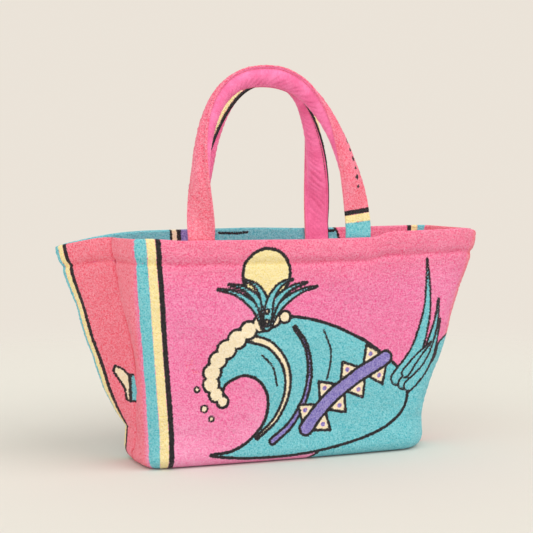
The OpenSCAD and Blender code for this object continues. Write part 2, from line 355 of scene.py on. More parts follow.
def spots_for(side, step):
    """Columns a step apart at the mouth, with one at each seam and fold."""
    stops = outline(side, bag("body").rim_z, np.array([0.0, 3.0]))[3]
    parts = []
    for k in range(3):
        count = int(round((stops[k + 1] - stops[k]) / step))
        parts.append(k + np.arange(count) / count)
    return np.concatenate([*parts, [3.0]])


def wall_rows(inset, top, step, low_turn_steps):
    """Stations [inset, z, share of the way to the floor's seam] from the floor's seam up a wall."""
    body = bag("body")
    r = body.bottom_r
    floor_steps = max(2, int(round(0.040 / step)))
    rows = [(r, inset, 1 - k / floor_steps) for k in range(floor_steps)]
    for k in range(low_turn_steps + 1):
        q = math.radians(90 - 90 * k / low_turn_steps)
        rows.append((inset + (r - inset) * (1 - math.cos(q)), inset + (r - inset) * (1 - math.sin(q)), 0))
    count = int(round((top - r) / step))
    rows.extend((inset, mix(r, top, k / count), 0) for k in range(1, count + 1))
    return rows


def lay_rows(side, spots, rows, shaped):
    """Points of a grid of stations by columns, with what the print and the grain need: x, the run past
    the left and the right fold, and the run from each seam."""
    grid, places = [], []
    for number, (inset, z, inward) in enumerate(rows):
        xy, out, at, stops = outline(side, z, spots)
        push = seam_draw(at, stops, z) - inset + shaped(number, at, stops, z)
        p = xy + out * push[:, None]
        x = mix(p[:, 0], FLOOR_SEAM_SHARE * xy[:, 0], inward)
        y = mix(p[:, 1], 0, inward)
        grid.append(np.stack([x, y, z + rim_change(side, spots, z)], axis=1))
        places.append(np.stack([xy[:, 0], at - stops[1], at - stops[2], at, stops[3] - at], axis=1))
    return np.array(grid), np.array(places)


# ---------------------------------------------------------------- drawing the print


def spline(points, closed=False, steps=8):
    """A smooth line through a few points."""
    p = np.array(points, float)
    if len(p) < 3:
        return p
    ends = (p[-1], p[0], p[1]) if closed else (2 * p[0] - p[1], 2 * p[-1] - p[-2], None)
    q = np.vstack([ends[0], p, ends[1]] + ([ends[2]] if closed else []))
    t = np.linspace(0, 1, steps, endpoint=False)[:, None]
    line = []
    for k in range(1, len(q) - 2):
        a, b, c, d = q[k - 1], q[k], q[k + 1], q[k + 2]
        line.append(0.5 * (2 * b + (c - a) * t + (2 * a - 5 * b + 4 * c - d) * t ** 2
                           + (3 * b - a - 3 * c + d) * t ** 3))
    line = np.vstack(line)
    return line if closed else np.vstack([line, p[-1:]])


DYES = ("teal", "yellow", "purple", "cream", "black")


class Print:
    """Distances, in metres, from each point of the cloth to the edges of what each dye covers.
    Shapes are given in millimetres."""

    OUTLINE = 4.6
    FAR = 0.05

    def __init__(self, x, z):
        self.at = np.stack([x, z], axis=1)
        self.dyes = {dye: np.full(len(x), self.FAR) for dye in DYES}

    def cover(self, dye, distance):
        self.dyes[dye] = np.minimum(self.dyes[dye], distance)

    def clear(self, distance):
        """Takes every dye away from inside a shape."""
        for dye in self.dyes:
            self.dyes[dye] = np.maximum(self.dyes[dye], -distance)

    def to_line(self, line):
        """Distance to a line and the share of it at the nearest place."""
        best, share = np.full(len(self.at), 1.0), np.zeros(len(self.at))
        run = run_along(line)
        for k in range(len(line) - 1):
            a, d = line[k], line[k + 1] - line[k]
            length = max(d @ d, 1e-12)
            t = np.clip(((self.at - a) @ d) / length, 0, 1)
            gap = np.linalg.norm(self.at - a - t[:, None] * d, axis=1)
            nearer = gap < best
            best = np.where(nearer, gap, best)
            share = np.where(nearer, (run[k] + t * math.sqrt(length)) / run[-1], share)
        return best, share

    def inside(self, line):
        x, y = self.at[:, 0], self.at[:, 1]
        odd = np.zeros(len(x), bool)
        for (ax, ay), (bx, by) in zip(line, np.roll(line, -1, axis=0)):
            crosses = (ay > y) != (by > y)
            with np.errstate(divide="ignore", invalid="ignore"):
                odd ^= crosses & (x < (bx - ax) * (y - ay) / (by - ay) + ax)
        return odd

    def line(self, points, width=OUTLINE):
        self.cover("black", self.to_line(np.array(spline(points)) * MM)[0] - width / 2 * MM)

    def stroke(self, signed, dye, edge):
        """Lays a dye inside a shape, given its signed distance, and a black outline on its edge."""
        self.clear(signed)
        self.cover(dye, signed)
        if edge:
            self.cover("black", np.abs(signed) - edge / 2 * MM)

    def area(self, points, dye, edge=OUTLINE, curved=True):
        """A filled shape through the points, with a black outline."""
        line = np.array(spline(points, closed=True) if curved else points, float) * MM
        gap = self.to_line(np.vstack([line, line[:1]]))[0]
        self.stroke(np.where(self.inside(line), -gap, gap), dye, edge)

    def blade(self, points, dye, root, tip, edge=OUTLINE):
        """A tapering stroke, root and tip wide, with a black outline."""
        gap, share = self.to_line(np.array(spline(points), float) * MM)
        self.stroke(gap - mix(root, tip, share ** 1.3) * MM / 2, dye, edge)

    def discs(self, spots, dye, edge=OUTLINE):
        """Discs (x, z, radius) that run together inside one black outline."""
        gaps = [np.linalg.norm(self.at - np.array([x, z]) * MM, axis=1) - r * MM for x, z, r in spots]
        self.stroke(np.min(gaps, axis=0), dye, edge)

    def bands(self, run, stripes, where=True):
        """Stripes (dye, from, to) across the cloth's run."""
        for dye, low, high in stripes:
            self.cover(dye, np.where(where, np.maximum(low * MM - run, run - high * MM), self.FAR))


def placed(points, x, z, way=1, scale=1.0):
    """Points or discs of a motif moved to x, z and scaled, and turned round where way is -1."""
    return [(x + way * scale * px, z + scale * pz, *(scale * r for r in rest)) for px, pz, *rest in points]


def draw_sun_and_leaves(ink, x, z, scale=1.0, way=1):
    """A sun over a fan of leaves. x, z is the fan's foot."""
    ink.discs(placed([(-2.5, 70, 33)], x, z, way, scale), "yellow", 4.4)
    for leaf in ([(1, 0), (12, 20), (26, 34), (46, 46), (69, 51)],
                 [(1, 6), (9, 28), (22, 44), (38, 53), (54, 57)],
                 [(1, 12), (4, 34), (12, 50), (22, 58), (34, 62)]):
        for turn in (-1, 1):
            ink.blade(placed(leaf, x, z, turn * way, scale), "teal", 12 * scale, 2 * scale, 3.4 * scale)
    for bead in ((0, 6, 3.2), (0, 20, 2.8)):
        ink.discs(placed([bead], x, z, way, scale), "cream", 3.4)


def draw_wave(ink, x, z, way=1):
    """A breaking wave: a hooked crest edged with foam over an open hollow. x, z is the middle of its foot."""
    def put_at(points):
        return placed(points, x, z, way)

    ink.area(put_at([(-78, 2), (-50, 6), (-24, 20), (-4, 44), (0, 74), (-12, 98), (-34, 108), (-58, 98),
                     (-66, 82), (-72, 104), (-64, 134), (-42, 162), (-8, 180), (32, 184), (76, 174),
                     (118, 156), (158, 130), (190, 104), (206, 76), (196, 40), (150, 14), (60, -4),
                     (-20, -6)]), "teal", 4.4)
    ink.blade(put_at([(-30, 158), (2, 146), (24, 116), (26, 80), (12, 46), (-14, 22)]), "cream", 10, 4, 3.8)
    ink.blade(put_at([(34, 170), (52, 142), (58, 106), (52, 70), (34, 38), (8, 16)]), "purple", 4, 9, 3.8)
    for crease in ([(76, 164), (88, 132), (84, 96)], [(-10, 134), (6, 116), (12, 92)]):
        ink.line(put_at(crease), 3.0)
    foam = [(-63, 74, 8), (-72, 84, 10), (-79, 98, 11), (-78, 114, 12), (-71, 130, 12), (-60, 144, 13),
            (-46, 157, 13), (-30, 168, 12), (-13, 176, 11), (4, 181, 10), (20, 184, 8)]
    ink.discs(put_at(foam), "cream", 3.8)
    for drop in ((-88, 66, 4.5), (-78, 52, 3.5), (-98, 92, 3.5)):
        ink.discs(put_at([drop]), "cream", 2.8)


def draw_bunting(ink, points, pennants):
    """A ribbon with pennants on both of its edges."""
    line = spline(points)
    run = run_along(line)
    for edge in (-1, 1):
        for k in range(pennants):
            spots = run[-1] * np.array([k + 0.06, k + 0.94]) / pennants
            a, b = np.stack([np.interp(spots, run, line[:, 0]), np.interp(spots, run, line[:, 1])], axis=1)
            d = (b - a) / np.linalg.norm(b - a)
            across = edge * np.array([-d[1], d[0]])
            middle = (a + b) / 2
            ink.area([a + across * 8, b + across * 8, middle + across * 31], "cream", 3.8, curved=False)
            ink.discs([(*(middle + across * 17), 3.4)], "purple", 0)
    ink.stroke(ink.to_line(line * MM)[0] - 9.5 * MM, "purple", 4.0)


def draw_grass(ink):
    """Tall blades of grass that stand from the wave's back."""
    for points, root in (([(148, 104), (176, 140), (190, 200), (186, 262)], 20),
                         ([(158, 96), (190, 132), (204, 176), (208, 208)], 17),
                         ([(166, 92), (194, 118), (206, 150), (211, 180)], 15),
                         ([(160, 110), (178, 130), (190, 142), (199, 150)], 12)):
        ink.blade(points, "teal", root, 1.5, 3.2)


def draw_front(ink):
    """The front's print: deep water at the right, the wave, grass, bunting and the sun."""
    ink.area([(30, -30), (34, 12), (90, 40), (152, 70), (176, 96), (206, 126), (216, 150), (262, 158),
              (350, 150), (350, -30)], "teal", 3.8)
    draw_wave(ink, -42, 14)
    draw_grass(ink)
    draw_bunting(ink, [(14, 44), (44, 80), (80, 108), (128, 133)], 4)
    draw_sun_and_leaves(ink, -47, 186)


def draw_back(ink):
    """The back's own print, whose top shows inside the rim."""
    ink.area([(-340, 345), (-340, 262), (-238, 240), (-196, 232), (-150, 244), (-112, 232), (-60, 240),
              (-8, 226), (44, 240), (84, 262), (88, 345)], "teal", 3.6)
    ink.area([(-119, 345), (-119, 262), (-104, 250), (-92, 262), (-90, 345)], "purple", 3.4, curved=False)
    ink.blade([(-127, 345), (-127, 300), (-132, 262), (-150, 238)], "cream", 10, 10, 3.4)
    ink.line([(-62, 306), (-34, 307), (-20, 306)], 3.4)
    ink.line([(98, 305), (114, 304)], 4)
    draw_wave(ink, -5, 12, way=-1)
    draw_sun_and_leaves(ink, 150, 116, 0.8, way=-1)


# Stripes (dye, from, to), in millimetres of the run past the upright fold that they follow
FRONT_STRIPES = (("teal", -1.0, 14.5), ("yellow", 14.5, 26.5), ("black", 26.5, 33.5))
BACK_LEFT_STRIPES = (("black", -25.5, -19.5), ("yellow", -19.5, -11.0), ("teal", -11.0, 9.0))
BACK_RIGHT_STRIPES = (("black", -26.0, -19.5), ("yellow", -19.5, -9.0), ("teal", -9.0, 6.0))
# From the right foot of the front strap upwards, and from one edge of the back strap to the other
STRAP_FOOT_STRIPES = (("teal", -60.0, 13.0), ("yellow", 13.0, 23.5), ("black", 23.5, 30.0))
STRAP_LONG_STRIPES = (("black", -2.0, 4.0), ("yellow", 4.0, 11.0), ("teal", 11.0, 22.0))


def draw_side_scrap(ink):
    """The tip of a leaf, cut by the side seam. Runs are from the seam."""
    ink.area([(-8, 83), (8, 83), (8, 118), (-8, 118)], "teal", 3.0, curved=False)
    ink.area([(9, 82), (15, 84), (16, 98), (24, 110), (31, 122), (27, 129), (15, 124), (9, 116)], "cream",
             3.6, curved=False)


# ---------------------------------------------------------------- shader helpers


def new_group(name, inputs, outputs):
    """A shader node group with named sockets. Inputs are (name, kind, default)."""
    tree = bpy.data.node_groups.new(name, "ShaderNodeTree")
    for label, kind, default in inputs:
        socket = tree.interface.new_socket(name=label, in_out="INPUT", socket_type=kind)
        if default is not None:
            socket.default_value = default
    for label, kind in outputs:
        tree.interface.new_socket(name=label, in_out="OUTPUT", socket_type=kind)
    return tree, tree.nodes.new("NodeGroupInput"), tree.nodes.new("NodeGroupOutput")


def put(tree, kind, values=None, **options):
    """A node with its options and its input values or links set."""
    node = tree.nodes.new(kind)
    for key, value in options.items():
        setattr(node, key, value)
    for key, value in (values or {}).items():
        if isinstance(value, bpy.types.NodeSocket):
            tree.links.new(value, node.inputs[key])
        elif node.inputs[key].type == "RGBA" and len(value) == 3:
            node.inputs[key].default_value = (*value, 1.0)
        else:
            node.inputs[key].default_value = value
    return node


def sums(tree, how, a, b=None, c=None, clamp=False):
    """A sum of one, two or three values."""
    values = {k: v for k, v in enumerate((a, b, c)) if v is not None}
    return put(tree, "ShaderNodeMath", values, operation=how, use_clamp=clamp).outputs[0]


def blended(tree, factor, a, b, how="MIX"):
    """Colour a turning into colour b by a factor."""
    return put(tree, "ShaderNodeMix", {0: factor, 6: a, 7: b}, data_type="RGBA", blend_type=how).outputs[2]


def spread(tree, value, low, high, to_low=0.0, to_high=1.0):
    """A value between low and high, eased to between two others."""
    return put(tree, "ShaderNodeMapRange", {0: value, 1: low, 2: high, 3: to_low, 4: to_high},
               interpolation_type="SMOOTHSTEP").outputs[0]


def noise(tree, place, scale, detail, roughness=0.5, output=0):
    """Cloudy noise, scale in spots a metre."""
    return put(tree, "ShaderNodeTexNoise", {"Vector": place, "Scale": scale, "Detail": detail,
                                            "Roughness": roughness}).outputs[output]


def terry_pile_group():
    """Loops of towelling: their height, a tone of random clumps with painted shade between the loops and
    painted light on their tips, and the raggedness of what is printed on them.
    """
    if "Terry Pile" in bpy.data.node_groups:
        return bpy.data.node_groups["Terry Pile"]
    tree, given, out = new_group(
        "Terry Pile", [("Loops per metre", "NodeSocketFloat", 620.0)],
        [("Height", "NodeSocketFloat"), ("Tone", "NodeSocketFloat"), ("Ragged", "NodeSocketFloat"),
         ("Clumps", "NodeSocketFloat")])
    place = put(tree, "ShaderNodeTexCoord").outputs["Object"]
    wobble = noise(tree, place, 300.0, 2.0, output="Color")
    moved = put(tree, "ShaderNodeVectorMath", {0: wobble, 1: (MM, MM, MM)}, operation="MULTIPLY")
    spot = put(tree, "ShaderNodeVectorMath", {0: place, 1: moved.outputs[0]}, operation="ADD").outputs[0]
    loops = put(tree, "ShaderNodeTexVoronoi", {"Vector": spot, "Scale": given.outputs[0], "Randomness": 1.0},
                feature="SMOOTH_F1").outputs["Distance"]
    clumps = noise(tree, place, 430.0, 4.0, 0.72)
    height = sums(tree, "SUBTRACT", 1.0, loops, clamp=True)
    height = sums(tree, "MULTIPLY_ADD", clumps, 0.8, height)
    height = sums(tree, "MULTIPLY_ADD", noise(tree, place, 1500.0, 2.0), 0.35, height)
    # Tone: random clumps, plus painted shade down between the loops and painted light on their tips, taken
    # from the loops' height
    tone = sums(tree, "ADD", clumps, sums(tree, "MULTIPLY", height, 0.42))
    ragged = noise(tree, place, 480.0, 3.0, 0.7)
    for label, value in (("Height", height), ("Tone", spread(tree, tone, 0.62, 1.28)),
                         ("Ragged", sums(tree, "SUBTRACT", ragged, 0.5)), ("Clumps", clumps)):
        tree.links.new(value, out.inputs[label])
    return tree


def dyed_edge_group():
    """Cover of a dye from the distance to its edge, frayed by the pile."""
    if "Dyed Edge" in bpy.data.node_groups:
        return bpy.data.node_groups["Dyed Edge"]
    tree, given, out = new_group(
        "Dyed Edge", [("Distance", "NodeSocketFloat", 0.0), ("Ragged", "NodeSocketFloat", 0.0),
                      ("Fray", "NodeSocketFloat", 0.0052), ("Softness", "NodeSocketFloat", 0.0007)],
        [("Cover", "NodeSocketFloat")])
    frayed = sums(tree, "MULTIPLY_ADD", given.outputs["Ragged"], given.outputs["Fray"],
                  given.outputs["Distance"])
    share = sums(tree, "DIVIDE", frayed, given.outputs["Softness"])
    tree.links.new(spread(tree, share, 0.5, -0.5), out.inputs["Cover"])
    return tree


def plain_weave_group():
    """Fine threads of a smooth cloth, laid along its grain map."""
    if "Plain Weave" in bpy.data.node_groups:
        return bpy.data.node_groups["Plain Weave"]
    tree, given, out = new_group(
        "Plain Weave", [("Threads per metre", "NodeSocketFloat", 1500.0)],
        [("Height", "NodeSocketFloat"), ("Tone", "NodeSocketFloat")])
    grain = put(tree, "ShaderNodeUVMap", uv_map="Grain").outputs[0]
    scaled = put(tree, "ShaderNodeVectorMath", {0: grain}, operation="SCALE")
    tree.links.new(given.outputs[0], scaled.inputs["Scale"])
    parts = put(tree, "ShaderNodeSeparateXYZ", {0: scaled.outputs[0]})
    warp = sums(tree, "SINE", sums(tree, "MULTIPLY", parts.outputs[0], math.pi))
    weft = sums(tree, "SINE", sums(tree, "MULTIPLY", parts.outputs[1], math.pi))
    threads = sums(tree, "MULTIPLY_ADD", sums(tree, "MULTIPLY", warp, weft), 0.5, 0.5)
    cloud = noise(tree, grain, 60.0, 4.0)
    slub = noise(tree, grain, 420.0, 2.0)
    tone = sums(tree, "MULTIPLY_ADD", slub, 0.4, sums(tree, "MULTIPLY", cloud, 0.6))
    tree.links.new(sums(tree, "MULTIPLY_ADD", slub, 0.6, threads), out.inputs["Height"])
    tree.links.new(tone, out.inputs["Tone"])
    return tree


def new_material(name, **looks):
    """A material whose one Principled shader has some of its values set."""
    material = bpy.data.materials.new(name)
    material.use_nodes = True
    tree = material.node_tree
    shader = next(n for n in tree.nodes if n.type == "BSDF_PRINCIPLED")
    for key, value in looks.items():
        shader.inputs[key.replace("_", " ")].default_value = value
    return material, tree, shader


def use_group(tree, group, values=None):
    """A node that uses a shared group."""
    return put(tree, "ShaderNodeGroup", values, node_tree=group)


def attribute(tree, name):
    """A point value of the piece."""
    return put(tree, "ShaderNodeAttribute", attribute_name=name).outputs["Fac"]


def relief(tree, shader, height, strength, depth):
    """Fine relief in the surface."""
    bump = put(tree, "ShaderNodeBump", {"Strength": strength, "Distance": depth, "Height": height})
    tree.links.new(bump.outputs[0], shader.inputs["Normal"])


def terry_material(name, ground, warm_ground):
    """Printed towelling: ground dyes by warmth, the print over them, and the pile's light and shade."""
    dyes = bag("colours")
    material, tree, shader = new_material(name, Specular_IOR_Level=0.18, Sheen_Weight=0.14,
                                          Sheen_Roughness=0.55, Sheen_Tint=(1.0, 0.80, 0.86, 1.0))
    pile = use_group(tree, terry_pile_group())
    colour = blended(tree, attribute(tree, "warmth"), ground, warm_ground)
    # Paler, bluer pink towards the bottom away from the sides, and in soft random patches
    paler_ground = blended(tree, 0.34, colour, (1.0, 0.62, 0.86))
    colour = blended(tree, attribute(tree, "paleness"), colour, paler_ground)
    for dye in DYES:
        cover = use_group(tree, dyed_edge_group(), {"Distance": attribute(tree, "print_" + dye),
                                                    "Ragged": pile.outputs["Ragged"]}).outputs[0]
        colour = blended(tree, cover, colour, tuple(getattr(dyes, dye)))
    # Painted shade and painted light of the pile: a darker, more saturated copy of the colour for the hollows
    # between the loops and a paler copy for their tips, mixed by the pile's tone
    deep = blended(tree, 0.80, colour, colour, "MULTIPLY")
    light = blended(tree, 0.20, colour, (1.0, 0.92, 0.94))
    # The last cover is that of the black, whose loops catch less light
    light = blended(tree, cover, light, tuple(v + 0.02 for v in dyes.black))
    shaded = blended(tree, pile.outputs["Tone"], deep, light)
    # Darker, more saturated colour along the side seams and the hem's groove: partly the pressed pile's own
    # colour, partly painted shade in the crease
    crease_pressed_and_shaded = blended(tree, 1.0, shaded, shaded, "MULTIPLY")
    shaded = blended(tree, attribute(tree, "crease"), shaded, crease_pressed_and_shaded)
    tree.links.new(shaded, shader.inputs["Base Color"])
    tree.links.new(spread(tree, pile.outputs["Clumps"], 0.2, 0.8, 0.86, 1.0), shader.inputs["Roughness"])
    relief(tree, shader, pile.outputs["Height"], 1.0, 0.0011)
    return material


def smooth_cloth_material(name):
    """Fine plain woven cotton with a soft sheen, in the lining's dye."""
    colour = bag("colours").lining
    material, tree, shader = new_material(name, Specular_IOR_Level=0.32, Sheen_Weight=0.22,
                                          Sheen_Roughness=0.4)
    weave = use_group(tree, plain_weave_group())
    deep = tuple(v * k for v, k in zip(colour, (0.90, 0.74, 0.80)))
    light = tuple(min(1.0, v * k + 0.02) for v, k in zip(colour, (1.06, 1.18, 1.14)))
    shade = blended(tree, spread(tree, weave.outputs["Tone"], 0.32, 0.68), deep, light)
    tree.links.new(shade, shader.inputs["Base Color"])
    tree.links.new(spread(tree, weave.outputs["Tone"], 0.2, 0.8, 0.52, 0.70), shader.inputs["Roughness"])
    relief(tree, shader, weave.outputs["Height"], 0.35, 0.00015)
    return material


def thread_material(name):
    """Twisted sewing thread."""
    colour = tuple(bag("colours").thread)
    material, tree, shader = new_material(name)
    twist = noise(tree, put(tree, "ShaderNodeTexCoord").outputs["Object"], 1600.0, 2.0)
    light = tuple(min(1.0, v * 1.35 + 0.03) for v in colour)
    tree.links.new(blended(tree, twist, colour, light), shader.inputs["Base Color"])
    tree.links.new(spread(tree, twist, 0.2, 0.8, 0.45, 0.65), shader.inputs["Roughness"])
    relief(tree, shader, twist, 0.4, 0.0002)
    return material


# ---------------------------------------------------------------- the body's pieces

HEM_GROOVE, HEM_GROOVE_WIDE, HEM_PUFF = 0.0028, 0.0042, 0.0024
SEAM_GROOVE, SEAM_GROOVE_WIDE = 0.0044, 0.0042
HEM_STITCH_SUNK = 0.0027
PANEL_STEP = 0.0021
LINING_STEP = 0.005
LINING_CREASE = 0.0006


def hem_shape(z, run):
    """Groove along the hem's stitching and the puffed hem above it."""
    body = bag("body")
    low = body.rim_z - body.hem_h
    above = (z - low) / body.hem_h
    groove = -HEM_GROOVE * hump(z - low, HEM_GROOVE_WIDE)
    puff = HEM_PUFF * math.sin(math.pi * above) ** 0.7 if 0 < above < 1 else 0.0
    return (groove + puff) * (0.75 + 0.35 * soft_wave(run / 0.05, run * 0, 5))


def seam_groove(at, stops):
    """The narrow valley that the seam's stitching makes."""
    return -SEAM_GROOVE * (hump(at, SEAM_GROOVE_WIDE) + hump(stops[3] - at, SEAM_GROOVE_WIDE))


def sew_half(name, side, rows, grid, places, faces, material, values=None):
    """A half of the body from its grid, with its edges on the side seams and its front outwards."""
    grid[:, [0, -1], 1] = 0.0
    if side == BACK:
        faces = [tuple(reversed(f)) for f in faces]
    run = run_along(np.array([r[:2] for r in rows]))
    grain = np.stack([places[..., 3], np.repeat(run[:, None], grid.shape[1], axis=1)], axis=-1)
    return add_piece(name, grid.transpose(1, 0, 2).reshape(-1, 3), faces, material, values,
                     grain.transpose(1, 0, 2).reshape(-1, 2))


def build_panel(name, side, seed):
    """One terry panel: wall, floor half, rolled rim and turned hem as one closed cloth."""
    body, cloth, dyes = bag("body"), bag("cloth"), bag("colours")
    spots = spots_for(side, PANEL_STEP)
    roll_r, rim_z = cloth.terry_t, body.rim_z
    low = rim_z - body.hem_h
    rows = wall_rows(0.0, rim_z - roll_r, PANEL_STEP, 12)
    roll = [math.radians(a) for a in range(15, 181, 15)]
    rows += [(roll_r * (1 - math.cos(a)), rim_z - roll_r + roll_r * math.sin(a), 0) for a in roll]
    turned = int(round((body.hem_h - roll_r) / PANEL_STEP))
    rows += [(2 * roll_r, mix(rim_z - roll_r, low, k / turned), 0) for k in range(1, turned + 1)]
    outer = len(rows)
    rows += reversed(wall_rows(cloth.terry_t, low, 0.024, 3))
    fuzz = np.random.RandomState(seed).normal(0, 1, (len(rows), len(spots)))

    def shaped(number, at, stops, z):
        if number >= outer:
            return 0.0
        inset = rows[number][0]
        push = cloth.pile_rough * fuzz[number] * (1.0 if inset < 1e-6 or z > low else 0.4)
        if inset < roll_r and z > body.bottom_r:
            wave = soft_wave(at / 0.16 + side, np.full(len(at), z / 0.13), 11 + seed)
            small = soft_wave(at / 0.045, np.full(len(at), z / 0.05), 23 + seed)
            calm = smooth((z - 0.02) / 0.05) * (1 - 0.7 * smooth((z - (low - 0.03)) / 0.03))
            push = push + calm * (body.undulation * wave + 0.0005 * small)
            push = push + hem_shape(z, at) + seam_groove(at, stops)
        return push

    grid, places = lay_rows(side, spots, rows, shaped)
    grid[:outer, :, 2] = np.maximum(grid[:outer, :, 2], 0.0)
    faces = tube_faces(len(spots), len(rows), closed_ends=False)
    faces += [tuple(reversed(f)) for f in seam_cap(grid[:, 0], outer, 0)]
    faces += seam_cap(grid[:, -1], outer, (len(spots) - 1) * len(rows))
    material = terry_material(name + "_terry", tuple(dyes.pink), tuple(dyes.salmon))
    return sew_half(name, side, rows, grid, places, faces, material, print_values(side, rows, places, outer))


def seam_cap(edge, outer, base):
    """Triangles between the outer and the inner line of a panel's end, base + index of the ring."""
    out_line, in_line = list(range(outer)), list(range(len(edge) - 1, outer - 1, -1))
    cap, a, b = [], 0, 0
    while a < len(out_line) - 1 or b < len(in_line) - 1:
        here_a, here_b = out_line[a], in_line[b]
        steps = []
        if a < len(out_line) - 1:
            steps.append((np.linalg.norm(edge[out_line[a + 1]] - edge[here_b]), 0, out_line[a + 1]))
        if b < len(in_line) - 1:
            steps.append((np.linalg.norm(edge[in_line[b + 1]] - edge[here_a]), 1, in_line[b + 1]))
        _, on_inner, following = min(steps)
        cap.append((base + here_a, base + following, base + here_b))
        a, b = a + 1 - on_inner, b + on_inner
    return cap


def print_values(side, rows, places, outer):
    """Point values for the print and the ground's shades, columns first."""
    body = bag("body")
    rim_z, columns = body.rim_z, places.shape[1]
    heights = np.array([r[1] for r in rows])
    past_rim = np.arange(len(rows)) > np.argmax(heights)
    z = np.tile(np.where(past_rim, 2 * rim_z - heights, heights), columns)
    inward = np.tile([r[2] for r in rows], columns)
    station = np.tile(np.arange(len(rows)), columns)
    x, left, right, at, to_end = (places[..., k].T.ravel() for k in range(5))
    on_outside = (inward < 0.01) & (station < outer) & (z > 0.0004)

    def ink_along(run):
        return Print(np.where(on_outside, run, -0.9), z)

    if side == FRONT:
        ink = ink_along(x + np.clip(right, 0, None) * 0.6)
        draw_front(ink)
        ink.bands(left, FRONT_STRIPES, on_outside)
    else:
        ink, scrap = ink_along(x), ink_along(at)
        draw_back(ink)
        draw_side_scrap(scrap)
        between = (left > BACK_LEFT_STRIPES[-1][2] * MM) & (right < BACK_RIGHT_STRIPES[0][1] * MM)
        for dye in DYES:
            ink.dyes[dye] = np.minimum(np.where(between, ink.dyes[dye], ink.FAR), scrap.dyes[dye])
        ink.bands(left, BACK_LEFT_STRIPES, on_outside)
        ink.bands(right, BACK_RIGHT_STRIPES, on_outside)
    values = {"print_" + dye: ink.dyes[dye] for dye in DYES}
    side_share = smooth((2 * MM - left) / (14 * MM)) + smooth((right - 4 * MM) / (14 * MM))
    top_share = 0.50 * smooth((z - (rim_z - 0.085)) / 0.085)
    low_share = smooth((0.16 - z) / 0.15) * (1 - np.clip(side_share, 0, 1))
    hem_line = np.where(on_outside, z - (rim_z - body.hem_h), 1.0)
    values["warmth"] = np.clip(side_share + top_share, 0, 1)
    values["paleness"] = np.clip(low_share + 0.25 * soft_wave(x / 0.2, z / 0.2, 3), 0, 1)
    # The crease value darkens the colour along the side seams and the hem's groove: partly pressed pile,
    # partly painted shade in the crease
    values["crease"] = 0.75 * hump(np.minimum(at, to_end), 0.0024) + 0.35 * hump(hem_line, 0.002)
    return values


def build_lining(name, side):
    """One half of the smooth lining, with shallow creases."""
    body, cloth = bag("body"), bag("cloth")
    spots = spots_for(side, LINING_STEP)
    top = body.rim_z - body.hem_h
    outer = wall_rows(cloth.terry_t, top, LINING_STEP, 5)
    rows = outer + wall_rows(cloth.terry_t + cloth.lining_t, top, LINING_STEP, 5)[::-1]

    def shaped(number, at, stops, z):
        if number < len(outer):
            return 0.0
        crease = soft_wave(at / 0.05, np.full(len(at), z / 0.10), 41)
        crease = crease + soft_wave(at / 0.02, np.full(len(at), z / 0.06), 43)
        fade = smooth((top - z) / 0.03) * smooth((z - 0.01) / 0.03)
        return -LINING_CREASE * fade * (crease + 1.6)

    grid, places = lay_rows(side, spots, rows, shaped)
    return sew_half(name, side, rows, grid, places, tube_faces(len(spots), len(rows)),
                    smooth_cloth_material(name + "_cotton"))


def build_hem_stitching(name):
    """Stitches that sink into the pile along the hem, all round."""
    body, cloth = bag("body"), bag("cloth")
    z = body.rim_z - body.hem_h
    places, alongs = [], []
    for side in SIDES.values():
        stops = outline(side, z, np.array([0.0, 3.0]))[3]
        count = int(stops[3] / cloth.stitch_len)
        spots = np.interp((np.arange(count) + 0.5) / count * stops[3], stops, [0, 1, 2, 3])
        xy, out, at, stops = outline(side, z, spots)
        p = xy + out * (seam_draw(at, stops, z) - HEM_STITCH_SUNK)[:, None]
        row = np.column_stack([p, z + rim_change(side, spots, z)])
        places.append(row)
        alongs.append(unit(np.gradient(row, axis=0)))
    return stitches(name, np.vstack(places), np.vstack(alongs), cloth.stitch_len * 0.72)


# ---------------------------------------------------------------- the handles

# How far the arch's top leans along the bag, and how far each strap's top rolls, in degrees
SWAY = {FRONT: -0.017, BACK: 0.005}
TOP_ROLL = {FRONT: -50, BACK: -35}
# Left and right shoulders' squareness, where 2 is an ellipse, and how soon each leg turns
ARCH_POWER = {FRONT: (2.45, 2.15), BACK: (2.45, 2.6)}
ROLL_POWER = {FRONT: (0.6, 1.6), BACK: (0.5, 0.8)}
# Half widths of the stuffing, the stitching and the backing as shares of the strap's
STUFFED_SHARE, STITCH_SHARE, FACING_SHARE = 0.76, 0.80, 0.95
# The strap's terry turns under over the last share of its half width
EDGE_SHARE = 0.07
STRAP_STEP = 0.0021
ARCH_POINTS, TAIL_POINTS = 400, 13


